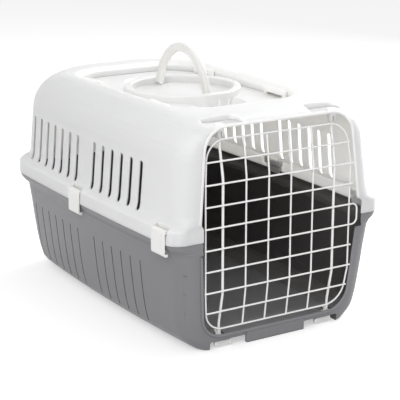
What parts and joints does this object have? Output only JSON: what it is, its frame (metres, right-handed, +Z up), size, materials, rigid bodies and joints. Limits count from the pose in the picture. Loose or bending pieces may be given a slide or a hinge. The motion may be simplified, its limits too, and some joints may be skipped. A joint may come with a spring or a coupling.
{
  "type": "pet carrier",
  "caption": "Pet carrier with a tapered grey tub, a white slotted cover held by side clips, a wire grid door that swings open, and a folding arched carry handle.",
  "frame": {"origin": "on the floor, on the middle plane, 280 mm before the rear of the rim", "axes": "-Y towards the door, +X to the right seen from the front, +Z up"},
  "size_m": [0.3828, 0.5577, 0.3975],
  "materials": {
    "grey_plastic": "fine satin grain",
    "white_plastic": "satin",
    "translucent_plastic": "satin, slightly see-through",
    "handle_plastic": "semi-gloss",
    "coated_wire": "thick white coating",
    "clip_plastic": "semi-gloss"
  },
  "bodies": {
    "carrier": {"lower_shell": "grey_plastic", "upper_shell": "white_plastic", "roof_panel": "translucent_plastic", "panel_catch_front_left": "white_plastic", "panel_catch_front_right": "white_plastic", "panel_catch_rear_left": "white_plastic", "panel_catch_rear_right": "white_plastic"},
    "handle": {"handle": "handle_plastic"},
    "door": {"door_frame": "coated_wire", "door_bar_left": "coated_wire", "door_bar_right": "coated_wire", "door_upright_1": "coated_wire", "door_upright_2": "coated_wire", "door_upright_3": "coated_wire", "door_upright_4": "coated_wire", "door_row_1": "coated_wire", "door_row_2": "coated_wire", "door_row_3": "coated_wire", "door_row_6": "coated_wire", "door_row_7": "coated_wire", "door_row_8": "coated_wire", "door_pull_wire": "coated_wire"},
    "latch_left": {"latch_left": "clip_plastic"},
    "latch_right": {"latch_right": "clip_plastic"},
    "clip_front_left": {"clip_front_left": "clip_plastic"},
    "clip_front_right": {"clip_front_right": "clip_plastic"},
    "clip_middle_left": {"clip_middle_left": "clip_plastic"},
    "clip_middle_right": {"clip_middle_right": "clip_plastic"},
    "clip_rear_left": {"clip_rear_left": "clip_plastic"},
    "clip_rear_right": {"clip_rear_right": "clip_plastic"}
  },
  "joints": [
    {"name": "handle_fold", "type": "hinge", "parent": "carrier", "child": "handle", "pos_m": [0, 0, 0.327], "axis": [0, 1, 0], "range_deg": [-89, 89]},
    {"name": "door_swing", "type": "hinge", "parent": "carrier", "child": "door", "pos_m": [-0.09625, -0.25648, 0.17], "axis": [0, 0, -1], "range_deg": [0, 110]},
    {"name": "latch_left_slide", "type": "slide", "parent": "carrier", "child": "latch_left", "axis": [1, 0, 0], "range_m": [0, 0.005]},
    {"name": "latch_right_slide", "type": "slide", "parent": "carrier", "child": "latch_right", "axis": [-1, 0, 0], "range_m": [0, 0.005]},
    {"name": "clip_front_left_swing", "type": "hinge", "parent": "carrier", "child": "clip_front_left", "pos_m": [-0.17912, -0.23882, 0.1845], "axis": [-0.0411, 0.9992, 0], "range_deg": [0, 95]},
    {"name": "clip_front_right_swing", "type": "hinge", "parent": "carrier", "child": "clip_front_right", "pos_m": [0.17964, -0.22583, 0.1845], "axis": [-0.0389, -0.9992, 0], "range_deg": [0, 95]},
    {"name": "clip_middle_left_swing", "type": "hinge", "parent": "carrier", "child": "clip_middle_left", "pos_m": [-0.1841, 0.008, 0.1845], "axis": [0.0008, 1, 0], "range_deg": [0, 95]},
    {"name": "clip_middle_right_swing", "type": "hinge", "parent": "carrier", "child": "clip_middle_right", "pos_m": [0.1841, 0.008, 0.1845], "axis": [0.0008, -1, 0], "range_deg": [0, 95]},
    {"name": "clip_rear_left_swing", "type": "hinge", "parent": "carrier", "child": "clip_rear_left", "pos_m": [-0.075, 0.2756, 0.1845], "axis": [1, 0, 0], "range_deg": [0, 95]},
    {"name": "clip_rear_right_swing", "type": "hinge", "parent": "carrier", "child": "clip_rear_right", "pos_m": [0.075, 0.2756, 0.1845], "axis": [1, 0, 0], "range_deg": [0, 95]}
  ]
}
